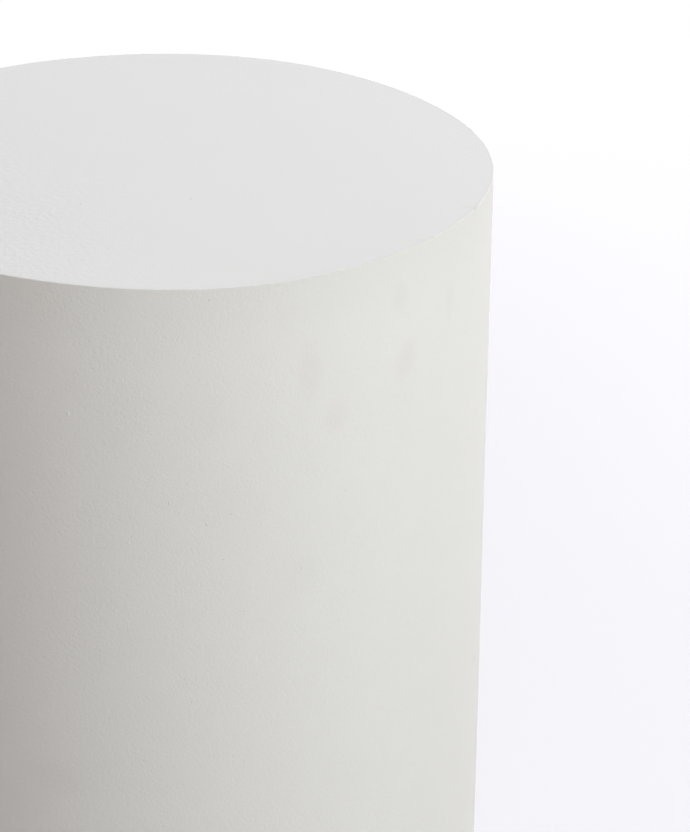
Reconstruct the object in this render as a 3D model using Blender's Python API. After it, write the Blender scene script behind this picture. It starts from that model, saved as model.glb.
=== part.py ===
"""Round decorative column for display, cast in one piece in off-white mineral plaster.

A plain straight shaft with a flat round top and a flat round underside, and both rims
eased by hand. It has no capital, no base moulding and no flutes.

Metres, +Z up. The origin is at the centre of the underside, where the column stands.
"""

import math

import bmesh
import bpy

# Driving dimensions of the column, in metres.
DIAMETER = 0.300
HEIGHT = 0.800

# The rims are eased with a sanding block: lightly at the top, more at the foot, where a
# crisp edge would chip as the column is walked across a floor.
TOP_RIM_RADIUS = 0.0015
FOOT_RIM_RADIUS = 0.0030

# How finely the round forms are faceted.
SHAFT_SEGMENTS = 144
RIM_STEPS = 5

# Off-white mineral plaster, matt. The colour is linear red, green, blue and alpha.
PLASTER_COLOUR = (0.80, 0.79, 0.75, 1.0)
PLASTER_ROUGHNESS = 0.92


def clear_scene():
    """Removes the objects that a new Blender file starts with."""
    for obj in list(bpy.data.objects):
        bpy.data.objects.remove(obj, do_unlink=True)


def plaster_material():
    """Matt off-white cast plaster."""
    material = bpy.data.materials.new("off_white_plaster")
    material.use_nodes = True
    shader = material.node_tree.nodes["Principled BSDF"]
    shader.inputs["Base Color"].default_value = PLASTER_COLOUR
    shader.inputs["Roughness"].default_value = PLASTER_ROUGHNESS
    shader.inputs["Metallic"].default_value = 0.0
    return material


def quarter_round(centre_radius, centre_height, radius, start_degrees):
    """(radius, height) points along a quarter circle, turning anticlockwise from the start angle."""
    angles = [
        math.radians(start_degrees + 90 * step / RIM_STEPS)
        for step in range(RIM_STEPS + 1)
    ]
    return [
        (centre_radius + radius * math.cos(angle), centre_height + radius * math.sin(angle))
        for angle in angles
    ]


def column_profile():
    """The column's outline from the edge of the underside, up the shaft, to the edge of the top."""
    shaft_radius = DIAMETER / 2
    foot = quarter_round(shaft_radius - FOOT_RIM_RADIUS, FOOT_RIM_RADIUS, FOOT_RIM_RADIUS, -90)
    top = quarter_round(shaft_radius - TOP_RIM_RADIUS, HEIGHT - TOP_RIM_RADIUS, TOP_RIM_RADIUS, 0)
    return foot + top


def turned_mesh(name, profile, segments):
    """A closed solid turned about Z from (radius, height) points, with a flat face at each end."""
    shape = bmesh.new()
    points = [shape.verts.new((radius, 0, height)) for radius, height in profile]
    outline = [shape.edges.new(pair) for pair in zip(points, points[1:])]
    bmesh.ops.spin(
        shape,
        geom=points + outline,
        cent=(0, 0, 0),
        axis=(0, 0, 1),
        angle=math.tau,
        steps=segments,
        use_merge=True,
    )
    rims = [edge for edge in shape.edges if edge.is_boundary]
    bmesh.ops.holes_fill(shape, edges=rims, sides=0)
    bmesh.ops.recalc_face_normals(shape, faces=shape.faces)
    mesh = bpy.data.meshes.new(name)
    shape.to_mesh(mesh)
    shape.free()
    return mesh


def build_column(material):
    """The column itself: shaft, top and underside are one cast piece."""
    mesh = turned_mesh("column", column_profile(), SHAFT_SEGMENTS)
    mesh.materials.append(material)
    mesh.shade_smooth()
    mesh.set_sharp_from_angle(angle=math.radians(30))
    column = bpy.data.objects.new("column", mesh)
    bpy.context.scene.collection.objects.link(column)


def main():
    clear_scene()
    build_column(plaster_material())


main()
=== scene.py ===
"""A round display column in sandy off-white plaster, on a pale studio floor."""
import math
import random

import bmesh
import bpy
from mathutils import Matrix, Vector, kdtree, noise


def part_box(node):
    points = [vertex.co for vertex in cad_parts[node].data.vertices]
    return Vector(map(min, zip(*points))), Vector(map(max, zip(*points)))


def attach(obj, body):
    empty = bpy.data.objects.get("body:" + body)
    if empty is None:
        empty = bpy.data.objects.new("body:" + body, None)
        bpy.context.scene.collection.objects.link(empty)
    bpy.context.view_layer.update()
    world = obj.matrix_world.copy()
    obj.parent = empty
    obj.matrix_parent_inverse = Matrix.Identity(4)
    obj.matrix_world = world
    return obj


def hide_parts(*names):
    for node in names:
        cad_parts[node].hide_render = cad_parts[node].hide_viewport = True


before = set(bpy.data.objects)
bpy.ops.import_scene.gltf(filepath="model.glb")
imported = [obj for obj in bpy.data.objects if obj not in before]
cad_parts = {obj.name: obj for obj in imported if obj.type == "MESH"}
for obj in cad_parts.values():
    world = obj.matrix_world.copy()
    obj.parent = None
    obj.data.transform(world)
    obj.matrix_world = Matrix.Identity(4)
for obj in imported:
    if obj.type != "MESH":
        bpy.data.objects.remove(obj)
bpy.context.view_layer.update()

# The column is one casting in off-white mineral plaster, turned out of a tube mould. Its top
# is struck off and sanded by hand, so the rim isn't quite level, and air bubbles against the
# mould have left pinholes all over it. It stands by its own weight on its flat underside.
column_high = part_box("column")[1]
RADIUS = column_high.x
HEIGHT = column_high.z
UP = Vector((0, 0, 1))
# How far the rims are eased, in metres, and how finely the casting is faceted.
TOP_RIM = 0.0003
FOOT_RIM = 0.003
SEGMENTS = 216
ROWS = 150
RIM_SEGMENTS = 5
RIM_MARGIN = 0.0006
FACE_BORDER = 0.006
FACE_PITCH = 0.010
# Two heights nearer than this are the same one, and a cut this near a vertex goes through it.
SAME_HEIGHT = 1e-6
CUT_MARGIN = 1e-5

shape = bmesh.new()
# How much painted shade each vertex gets for the inside of a pinhole, which the plaster's finish reads.
pit_shade = shape.verts.layers.float.new("pit_shade")
bmesh.ops.create_cone(
    shape,
    cap_ends=True,
    segments=SEGMENTS,
    radius1=RADIUS,
    radius2=RADIUS,
    depth=HEIGHT,
    matrix=Matrix.Translation((0, 0, HEIGHT / 2)),
)


def at_height(vertex, height):
    return abs(vertex.co.z - height) < SAME_HEIGHT


for level, width in ((HEIGHT, TOP_RIM), (0, FOOT_RIM)):
    bmesh.ops.bevel(
        shape,
        geom=[edge for edge in shape.edges if all(at_height(vertex, level) for vertex in edge.verts)],
        offset=width,
        segments=RIM_SEGMENTS,
        profile=0.5,
        affect="EDGES",
        material=-1,
    )
uprights = [edge for edge in shape.edges if edge.calc_length() > HEIGHT / 2]
bmesh.ops.subdivide_edges(shape, edges=uprights, cuts=ROWS - 1, use_grid_fill=True)


def cut(faces, point, across):
    """Cuts faces by the plane through a point, square to a direction, and gives back their parts."""
    parts = dict.fromkeys(faces)
    parts.update(dict.fromkeys(edge for face in faces for edge in face.edges))
    parts.update(dict.fromkeys(vertex for face in faces for vertex in face.verts))
    made = bmesh.ops.bisect_plane(
        shape, geom=list(parts), dist=CUT_MARGIN, plane_co=point, plane_no=across
    )
    return [part for part in made["geom"] if isinstance(part, bmesh.types.BMFace)]


def end_faces():
    return [face for face in shape.faces if abs(face.normal.z) > 0.999]


# A narrow strip on each side of a rim keeps the flat faces flat in the shading.
for level in (HEIGHT - TOP_RIM - RIM_MARGIN, FOOT_RIM + RIM_MARGIN):
    cut(shape.faces[:], UP * level, UP)
bmesh.ops.inset_region(shape, faces=end_faces(), thickness=RIM_MARGIN, use_even_offset=True)
inner = [face for face in end_faces() if all(v.co.xy.length < RADIUS - RIM_MARGIN for v in face.verts)]
flats = [face for face in inner if len(face.verts) > 4]
bmesh.ops.inset_region(shape, faces=flats, thickness=FACE_BORDER, use_even_offset=True)
for along in (Vector((1, 0, 0)), Vector((0, 1, 0))):
    cuts = math.floor(RADIUS / FACE_PITCH)
    for count in range(-cuts, cuts):
        flats = cut(flats, along * (count + 0.5) * FACE_PITCH, along)

# Where the sanding block has left the rim low or high: the angle round the rim in degrees,
# counted from the front towards the right, the height in metres and the half width in degrees.
RIM_WAVES = (
    (15, -0.0009, 24),
    (-20, 0.0007, 20),
    (52, 0.0007, 20),
    (120, -0.0007, 22),
    (155, 0.0004, 20),
    (-70, -0.0005, 26),
    (-125, 0.0005, 28),
)
RIM_WAVE_DEPTH = 0.02
RIM_WAVE_REACH = 0.05
# How far the surface swells and sinks, and over what length.
SWELLS = ((0.00012, 0.12), (0.00002, 0.032))


def fade(value, start, end):
    """0 before start, 1 after end and an even curve between them."""
    share = min(max((value - start) / (end - start), 0), 1)
    return share * share * (3 - 2 * share)


def angle_of(point):
    return math.degrees(math.atan2(point.x, -point.y))


def rim_wave(angle):
    height = 0
    for centre, rise, half_width in RIM_WAVES:
        off = abs((angle - centre + 180) % 360 - 180)
        height += rise * (1 - fade(off, 0, 2 * half_width))
    return height


def settled(point):
    """Where a point of the true cylinder lies on the cast and sanded column."""
    swell = sum(depth * noise.noise(point / length) for depth, length in SWELLS)
    across = point.xy.length
    outward = Vector((point.x, point.y, 0)).normalized()
    moved = point + outward * swell * fade(across, RADIUS * 0.8, RADIUS)
    top = fade(point.z, HEIGHT - RIM_WAVE_DEPTH, HEIGHT)
    rim = fade(across, RADIUS - RIM_WAVE_REACH, RADIUS)
    moved.z += top * (rim * rim_wave(angle_of(point)) + (1 - rim) * swell)
    return moved


# A grain has broken out of the top rim and left a nick, here with its angle round the rim.
NICK_ANGLE = 66.4
NICK_HALF_WIDTH = 0.0011
NICK_DEPTH = 0.0007
NICK_REACH = 0.0013
NICK_CUTS = 4
# How far in from the rim the faces round the nick are cut finer.
NICK_STRIP = 2 * (TOP_RIM + RIM_MARGIN)
nick_turn = math.radians(NICK_ANGLE)
nick_out = Vector((math.sin(nick_turn), -math.cos(nick_turn), 0))
nick_along = UP.cross(nick_out)
nick = nick_out * RADIUS + UP * HEIGHT
rim_strips = [
    face
    for face in shape.faces
    if (face.calc_center_median() - nick).length < RADIUS * math.tau / SEGMENTS
    and all((v.co - nick).dot(nick_out) > -NICK_STRIP for v in face.verts)
    and all((v.co - nick).z > -NICK_STRIP for v in face.verts)
]
for step in range(-NICK_CUTS, NICK_CUTS + 1):
    rim_strips = cut(rim_strips, nick + nick_along * NICK_HALF_WIDTH * step / NICK_CUTS, nick_along)
for vertex in dict.fromkeys(vertex for face in rim_strips for vertex in face.verts):
    off = vertex.co - nick
    near = 1 - fade(abs(off.dot(nick_along)), 0, NICK_HALF_WIDTH)
    near *= 1 - fade(math.hypot(off.dot(nick_out), off.z), 0, NICK_REACH)
    vertex.co -= (nick_out + UP) * NICK_DEPTH * near

for vertex in shape.verts:
    vertex.co = settled(vertex.co)
shape.normal_update()

# Blemishes that show from a step away. On the side each has its angle in degrees, its depth below
# the top, its width and how many times taller than wide it is. Most are pinholes.
SIDE_PINHOLES = (
    (0.9, 0.0986, 0.0008, 2.6),
    (7.1, 0.1094, 0.0009, 1.4),
    (-9.2, 0.0106, 0.0008, 1.8),
    (7.6, 0.0051, 0.0008, 1.8),
    (-3.5, 0.2235, 0.0007, 1.5),
    (9.9, 0.1265, 0.0008, 0.8),
    (11.2, 0.1052, 0.0009, 1.0),
    (13.5, 0.1525, 0.0009, 0.7),
    (-14.3, 0.0419, 0.0007, 1.2),
    (4.6, 0.1946, 0.0007, 1.9),
    (23.5, 0.1360, 0.0007, 1.5),
    (-11.7, 0.0246, 0.0009, 1.3),
    (-5.9, 0.1601, 0.0008, 1.1),
    (-5.7, 0.1775, 0.0007, 2.2),
    (3.4, 0.1834, 0.0007, 1.3),
    (2.6, 0.1035, 0.0008, 1.4),
    (31.6, 0.1036, 0.0006, 1.3),
)
# Sand grains that the mould has left standing proud.
SIDE_GRAINS = (
    (-15.3, 0.0588, 0.0013, 1.5),
    (-7.9, 0.1502, 0.0013, 1.2),
    (-10.0, 0.1281, 0.0011, 1.8),
    (-15.1, 0.1658, 0.0009, 1.0),
    (-5.6, 0.1175, 0.0011, 1.4),
)
# On the top each has its place to the right and to the back, its width and its stretch.
TOP_PINHOLES = (
    (0.0135, -0.0455, 0.0011, 1.6),
    (-0.0350, -0.0515, 0.0013, 1.0),
    (-0.0349, -0.0669, 0.0011, 0.9),
    (-0.0225, -0.1041, 0.0009, 1.0),
    (0.1103, -0.0971, 0.0011, 1.0),
)
# Depth or height and wall as shares of the width: pinholes on the side are the deeper and
# steeper ones, and sanding has left those on the flat faces shallow.
PINHOLE_DEPTH = 0.22
PINHOLE_WALL = 0.15
SANDED_DEPTH = 0.12
GRAIN_HEIGHT = 0.16
SOFT_WALL = 0.24
BLEMISH_MARGIN = 0.0003
# A blemish gets this share of its depth from its wall, and the rest from its round floor.
WALL_SHARE = 0.7

spots = [vertex for vertex in shape.verts if len(vertex.link_edges) == 4]
finder = kdtree.KDTree(len(spots))
for index, vertex in enumerate(spots):
    finder.insert(vertex.co, index)
finder.balance()
used = set()


def blemish(place, width, tallness, depth, wall):
    """Rounds off a small patch of the surface and pushes its floor in, or out for a negative depth."""
    centre = settled(place)
    index = finder.find(centre)[1]
    if index in used:
        return
    used.add(index)
    spot = spots[index]
    inward = -spot.normal
    upward = UP if abs(inward.z) < 0.5 else Vector((0, 1, 0))
    spot.co = centre
    made = bmesh.ops.bevel(
        shape,
        geom=[spot],
        offset=width,
        segments=2,
        profile=0.5,
        affect="VERTICES",
        material=-1,
    )
    patch = made["faces"]
    middle = [vertex for vertex in made["verts"] if all(face in patch for face in vertex.link_faces)]
    for lip in made["verts"]:
        if lip not in middle:
            away = (lip.co - centre).normalized() * width / 2
            away += upward * away.dot(upward) * (tallness - 1)
            lip.co = centre + away + away.normalized() * BLEMISH_MARGIN
    bmesh.ops.inset_region(shape, faces=patch, thickness=BLEMISH_MARGIN)
    bmesh.ops.inset_region(shape, faces=patch, thickness=wall, depth=-depth * WALL_SHARE)
    for vertex in middle:
        vertex.co += inward * depth * (1 - WALL_SHARE)
    # A pinhole gets painted shade over its patch, for the shade inside it.
    if depth > 0:
        for vertex in dict.fromkeys(vertex for face in patch for vertex in face.verts):
            vertex[pit_shade] = 1.0


def side_point(angle, below):
    turn = math.radians(angle)
    return Vector((RADIUS * math.sin(turn), -RADIUS * math.cos(turn), HEIGHT - below))


for angle, below, width, tallness in SIDE_PINHOLES:
    blemish(side_point(angle, below), width, tallness, width * PINHOLE_DEPTH, width * PINHOLE_WALL)
for angle, below, width, tallness in SIDE_GRAINS:
    blemish(side_point(angle, below), width, tallness, -width * GRAIN_HEIGHT, width * SOFT_WALL)
for across, back, width, tallness in TOP_PINHOLES:
    blemish(Vector((across, back, HEIGHT)), width, tallness, width * SANDED_DEPTH, width * SOFT_WALL)

# The sides that the photo doesn't show are pitted in the same way, at places drawn by chance.
chance = random.Random(4)
SIDE_DRAWS = 330
SIDE_WIDTHS = (0.0006, 0.0013)
SIDE_TALLNESSES = (0.8, 1.8)
CLEAR_OF_TOP = 0.004
CLEAR_OF_FOOT = 0.008
FLAT_DRAWS = 14
FLAT_WIDTHS = (0.0006, 0.0011)
CLEAR_OF_RIM = 0.012
# The angles, the depth below the top and the part of the top that the photo shows.
SHOWN_ANGLES = (-21, 88)
SHOWN_DEPTH = 0.27
SHOWN_LEFT = -0.08
for count in range(SIDE_DRAWS):
    angle = chance.uniform(-180, 180)
    below = chance.uniform(CLEAR_OF_TOP, HEIGHT - CLEAR_OF_FOOT)
    width = chance.uniform(*SIDE_WIDTHS)
    tallness = chance.uniform(*SIDE_TALLNESSES)
    if below > SHOWN_DEPTH or not SHOWN_ANGLES[0] < angle < SHOWN_ANGLES[1]:
        blemish(side_point(angle, below), width, tallness, width * PINHOLE_DEPTH, width * PINHOLE_WALL)
for level in (HEIGHT, 0):
    for count in range(FLAT_DRAWS):
        out = math.sqrt(chance.random()) * (RADIUS - CLEAR_OF_RIM)
        turn = chance.uniform(0, math.tau)
        width = chance.uniform(*FLAT_WIDTHS)
        place = Vector((out * math.cos(turn), out * math.sin(turn), level))
        if level == 0 or place.x < SHOWN_LEFT:
            blemish(place, width, 1, width * SANDED_DEPTH, width * SOFT_WALL)

column_mesh = bpy.data.meshes.new("plaster_column")
shape.to_mesh(column_mesh)
shape.free()
column_mesh.shade_smooth()
column_mesh.set_sharp_from_angle(angle=math.radians(32))
column = bpy.data.objects.new("plaster_column", column_mesh)
bpy.context.scene.collection.objects.link(column)
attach(column, "root")
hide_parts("column")


class Amount:
    """A number that changes over a surface: a node's output that takes part in Python sums."""

    def __init__(self, finish, socket):
        self.finish = finish
        self.socket = socket

    def sum(self, operation, first, second):
        return self.finish.node("ShaderNodeMath", {"operation": operation}, {0: first, 1: second})

    def __add__(self, other):
        return self.sum("ADD", self, other)

    def __sub__(self, other):
        return self.sum("SUBTRACT", self, other)

    def __rsub__(self, other):
        return self.sum("SUBTRACT", other, self)

    def __mul__(self, other):
        return self.sum("MULTIPLY", self, other)

    __radd__ = __add__
    __rmul__ = __mul__


class Finish:
    """The nodes of a material, or of the studio's air, and the one way in which they are made."""

    def __init__(self, owner, shader):
        owner.use_nodes = True
        self.tree = owner.node_tree
        self.shader = self.tree.nodes[shader]

    def join(self, node, sockets):
        for key, value in sockets.items():
            if isinstance(value, Amount):
                self.tree.links.new(value.socket, node.inputs[key])
            else:
                node.inputs[key].default_value = value

    def node(self, kind, settings, sockets, output=0):
        made = self.tree.nodes.new(kind)
        for key, value in settings.items():
            setattr(made, key, value)
        self.join(made, sockets)
        return Amount(self, made.outputs[output])

    def place(self, output="Object"):
        return self.node("ShaderNodeTexCoord", {}, {}, output)

    def turned(self, place, centre, turn, size):
        """A place read from a centre, along axes that are turned and stretched."""
        sockets = {"Vector": place, "Location": centre, "Rotation": turn, "Scale": size}
        return self.node("ShaderNodeMapping", {"vector_type": "TEXTURE"}, sockets)

    def clouds(self, place, size, detail=2.0, roughness=0.5):
        """Soft noise from 0 to 1 whose lumps are about a size, in metres, across."""
        sockets = {"Vector": place, "Scale": 1 / size, "Detail": detail, "Roughness": roughness}
        return self.node("ShaderNodeTexNoise", {}, sockets)

    def rise(self, value, start, end):
        """0 before start, 1 after end and an even curve between them."""
        sockets = {"Value": value, "From Min": start, "From Max": end}
        return self.node("ShaderNodeMapRange", {"interpolation_type": "SMOOTHSTEP"}, sockets)

    def length(self, place):
        return self.node("ShaderNodeVectorMath", {"operation": "LENGTH"}, {0: place}, "Value")

    def blend(self, share, first, second):
        """The first colour where the share is 0 and the second where it is 1."""
        return self.node("ShaderNodeMix", {"data_type": "RGBA"}, {0: share, 6: first, 7: second}, 2)


# The plaster's colour drifts between two, in clouds and in streaks that run down the side.
PLASTER = (0.729, 0.719, 0.685, 1)
PLASTER_SHADED = (0.715, 0.703, 0.668, 1)
CLOUD_SIZE = 0.06
CLOUD_SHARE = 0.6
STREAK_SIZE = 0.016
STREAK_SHARE = 0.4
STREAK_STRETCH = (1, 1, 7)
# Sizes and reliefs in metres. The grain of the side is fainter where the mould has worn smooth.
GRAIN_SIZE = 0.0014
GRAIN_RELIEF = 0.00014
WORN_SIZE = 0.03
WORN_FADE = (0.3, 0.7)
WORN_LEAST = 0.7
WORN_MORE = 0.6
# How far from its middle a pore goes, as a share of the pores' pitch, and how much darker its colour
# is.
PORE_SIZE = 0.0024
PORE_RELIEF = 0.00005
PORE_FADE = (0.05, 0.28)
PORE_DARKENING = 0.05
# Sanding has left the top with a softer and wider grain, which is rougher at the near left, and
# with few of its pores.
SANDED_SIZE = 0.0026
SANDED_RELIEF = 0.00008
SANDED_PORES = 0.15
ROUGH_RELIEF = 0.00024
ROUGH_PLACE = (-0.11, -0.07, HEIGHT)
ROUGH_FADE = (0.05, 0.15)
SIDE_FADE = (RADIUS - 0.0012, RADIUS - 0.0004)

plaster_material = bpy.data.materials.new("sandy_plaster")
plaster = Finish(plaster_material, "Principled BSDF")
place = plaster.place()
grain = plaster.clouds(place, GRAIN_SIZE, 1.5, 0.55)
worn = plaster.rise(plaster.clouds(place, WORN_SIZE), *WORN_FADE)
pores = plaster.node("ShaderNodeTexVoronoi", {}, {"Vector": place, "Scale": 1 / PORE_SIZE})
flat_place = plaster.node("ShaderNodeVectorMath", {"operation": "MULTIPLY"}, {0: place, 1: (1, 1, 0)})
on_side = plaster.rise(plaster.length(flat_place), *SIDE_FADE)
from_rough = plaster.length(plaster.turned(place, ROUGH_PLACE, (0, 0, 0), (1, 1, 1)))
rough = 1 - plaster.rise(from_rough, *ROUGH_FADE)
pitted = on_side + (1 - on_side) * (SANDED_PORES + (1 - SANDED_PORES) * rough)
pore = (1 - plaster.rise(pores, *PORE_FADE)) * pitted
sanded = plaster.clouds(place, SANDED_SIZE, 1.5) * (SANDED_RELIEF + rough * ROUGH_RELIEF)
cast = grain * (WORN_LEAST + WORN_MORE * worn) * GRAIN_RELIEF
relief = cast * on_side + sanded * (1 - on_side) - pore * PORE_RELIEF
bump = plaster.node("ShaderNodeBump", {}, {"Height": relief, "Strength": 1.0, "Distance": 1.0})

cloud = plaster.clouds(place, CLOUD_SIZE)
streak = plaster.clouds(plaster.turned(place, (0, 0, 0), (0, 0, 0), STREAK_STRETCH), STREAK_SIZE)
colour = plaster.blend(CLOUD_SHARE * cloud + STREAK_SHARE * streak, PLASTER, PLASTER_SHADED)

# Finger marks, scuffs and a darker patch on the side: each has its angle in degrees, its depth below
# the top, its half width and half height, its lean to the right in degrees, its colour and its
# strength.
FINGER = (0.65, 0.555, 0.535, 1)
SCUFF = (0.55, 0.54, 0.49, 1)
# A mark fades between these shares of its size, with an edge that the grain breaks up, and it
# goes this many half widths into the plaster.
MARK_FADE = (0.6, 1.9)
MARK_GRAIN = 0.6
MARK_THROUGH = 4
MARKS = (
    (24.9, 0.0452, 0.0050, 0.0085, 5, FINGER, 0.15),
    (24.4, 0.0350, 0.0035, 0.0070, 5, FINGER, 0.06),
    (29.7, 0.0670, 0.0048, 0.0070, 10, FINGER, 0.125),
    (44.7, 0.0510, 0.0056, 0.0085, 24, FINGER, 0.16),
    (-14.9, 0.0454, 0.0060, 0.0060, 0, FINGER, 0.05),
    (43.0, 0.0215, 0.0045, 0.0065, 0, SCUFF, 0.11),
    (56.8, 0.0335, 0.0035, 0.0090, 0, SCUFF, 0.10),
    (37.8, 0.0365, 0.0040, 0.0040, 0, SCUFF, 0.05),
    (-6.4, 0.0610, 0.0090, 0.0180, 12, SCUFF, 0.045),
    (7.6, 0.0600, 0.0080, 0.0110, 0, SCUFF, 0.07),
    (11.5, 0.1020, 0.0150, 0.0110, 0, SCUFF, 0.045),
    (23.5, 0.1390, 0.0080, 0.0090, 0, SCUFF, 0.05),
    (74.6, 0.2321, 0.0035, 0.0014, 0, SCUFF, 0.30),
    # The last one only darkens a soft patch low on the left of the side.
    (-17.8, 0.2360, 0.0130, 0.0080, 0, SCUFF, 0.10),
)
for angle, below, half_width, half_height, lean, stain, strength in MARKS:
    seen = plaster.turned(
        place,
        side_point(angle, below),
        (0, math.radians(lean), math.radians(angle)),
        (half_width, MARK_THROUGH * half_width, half_height),
    )
    mark = 1 - plaster.rise(plaster.length(seen) + MARK_GRAIN * grain, *MARK_FADE)
    colour = plaster.blend(mark * strength, colour, stain)
# The pores are a little darker.
colour = plaster.blend(pore * PORE_DARKENING, colour, SCUFF)
# Painted shade darkens the pinholes, standing for the shade inside them.
PIT_SHADE_COLOUR = (0.40, 0.37, 0.33, 1)
PIT_SHADE_SHARE = 0.35
pit_shaded = plaster.node("ShaderNodeAttribute", {"attribute_name": "pit_shade"}, {}, "Fac")
colour = plaster.blend(pit_shaded * PIT_SHADE_SHARE, colour, PIT_SHADE_COLOUR)
# The side is tinged a faint, darker beige just below the top rim.
UNDER_RIM_TINGE = (0.61, 0.60, 0.53, 1)
UNDER_RIM_TINGE_SHARE = 0.16
UNDER_RIM_TINGE_REACH = 0.036
level = plaster.node("ShaderNodeSeparateXYZ", {}, {0: place}, "Z")
under_rim = plaster.rise(level, HEIGHT - UNDER_RIM_TINGE_REACH, HEIGHT) * on_side
colour = plaster.blend(under_rim * UNDER_RIM_TINGE_SHARE, colour, UNDER_RIM_TINGE)
plaster.join(
    plaster.shader,
    {"Base Color": colour, "Roughness": 0.92, "Specular IOR Level": 0.3, "Normal": bump},
)
column.data.materials.append(plaster_material)

# The floor is a wide pale sheet of studio paper, which is lost in white light away from the
# column. It isn't part of the column.
FLOOR_RADIUS = 14
PAPER = (0.92, 0.91, 0.907, 1)
# The light that comes from the paper itself: a little near the column, and a bluish white from
# where it starts to be lost, in metres from the column's axis, to where it is.
PAPER_GLOW = (0.03, 0.03, 0.03, 1)
FAR_GLOW = (1.02, 1.01, 1.055, 1)
FAR_FADE = (1.0, 2.4)
BLACK = (0, 0, 0, 1)
WHITE = (1, 1, 1, 1)
floor_shape = bmesh.new()
bmesh.ops.create_circle(floor_shape, cap_ends=True, segments=96, radius=FLOOR_RADIUS)
floor_mesh = bpy.data.meshes.new("floor")
floor_shape.to_mesh(floor_mesh)
floor_shape.free()
floor = bpy.data.objects.new("floor", floor_mesh)
bpy.context.scene.collection.objects.link(floor)
paper_material = bpy.data.materials.new("studio_paper")
paper = Finish(paper_material, "Principled BSDF")
far = paper.rise(paper.length(paper.place()), *FAR_FADE)
paper.join(
    paper.shader,
    {
        "Base Color": paper.blend(far, PAPER, BLACK),
        "Emission Color": paper.blend(far, PAPER_GLOW, FAR_GLOW),
        "Emission Strength": 1.0,
        "Roughness": 0.95,
        "Specular IOR Level": 0.0,
    },
)
floor.data.materials.append(paper_material)

# The camera stands 1.7 metres in front of the column's axis and looks down on the top with a
# long lens, a little to the right, so that the column leaves the picture on the left.
CAMERA_BACK = 1.690
CAMERA_UP = 0.6315
CAMERA_LENS = 173.0
CAMERA_TURN = 2.873
CAMERA_DOWN = 24.102
CAMERA_TILT = 0.814
camera_data = bpy.data.cameras.new("camera")
camera_data.lens = CAMERA_LENS
camera = bpy.data.objects.new("camera", camera_data)
camera.matrix_world = (
    Matrix.Translation((0, -CAMERA_BACK, HEIGHT + CAMERA_UP))
    @ Matrix.Rotation(math.radians(-CAMERA_TURN), 4, "Z")
    @ Matrix.Rotation(math.radians(90 - CAMERA_DOWN), 4, "X")
    @ Matrix.Rotation(math.radians(CAMERA_TILT), 4, "Z")
)
bpy.context.scene.collection.objects.link(camera)
bpy.context.scene.camera = camera

# Soft studio light: a key light from the front right, a second one from behind on the right, one
# over the back of the column, two weak ones on the left, of which the nearer to the front is
# orange, and a low band of white paper all round.
bpy.context.scene.view_settings.view_transform = "Standard"
# How high above the horizon the white paper reaches, as the height of a direction one metre long.
HORIZON_FADE = (0.075, 0.10)
world = bpy.data.worlds.new("studio")
air = Finish(world, "Background")
look = air.node("ShaderNodeSeparateXYZ", {}, {0: air.place("Generated")}, "Z")
air.join(air.shader, {"Color": air.blend(air.rise(look, *HORIZON_FADE), WHITE, BLACK), "Strength": 1.0})
bpy.context.scene.world = world
LIGHT_TARGET = Vector((0, 0, 0.65))
LIGHT_DISTANCE = 2.6


def softbox(name, azimuth, elevation, size, watts, colour):
    """A square light, at degrees round from the front towards the right and up from level."""
    data = bpy.data.lights.new(name, "AREA")
    data.shape = "SQUARE"
    data.size = size
    data.energy = watts
    data.color = colour
    light = bpy.data.objects.new(name, data)
    around, up = math.radians(azimuth), math.radians(elevation)
    back = Vector((math.sin(around) * math.cos(up), -math.cos(around) * math.cos(up), math.sin(up)))
    light.location = LIGHT_TARGET + back * LIGHT_DISTANCE
    light.rotation_mode = "QUATERNION"
    light.rotation_quaternion = back.to_track_quat("Z", "Y")
    light.visible_camera = False
    bpy.context.scene.collection.objects.link(light)


softbox("key", 50, 40, 1.2, 47.3, (0.973, 1.0, 1.0))
softbox("right_rear", 145, 12, 1.2, 18.8, (1.015, 1.0, 1.035))
softbox("overhead", 180, 60, 1.6, 44, (0.99, 1.0, 1.105))
softbox("left_rear", -140, 25, 1.2, 4, (1.0, 1.0, 1.0))
softbox("left_fill", -70, 15, 1.2, 3.2, (1.0, 0.45, 0.2))
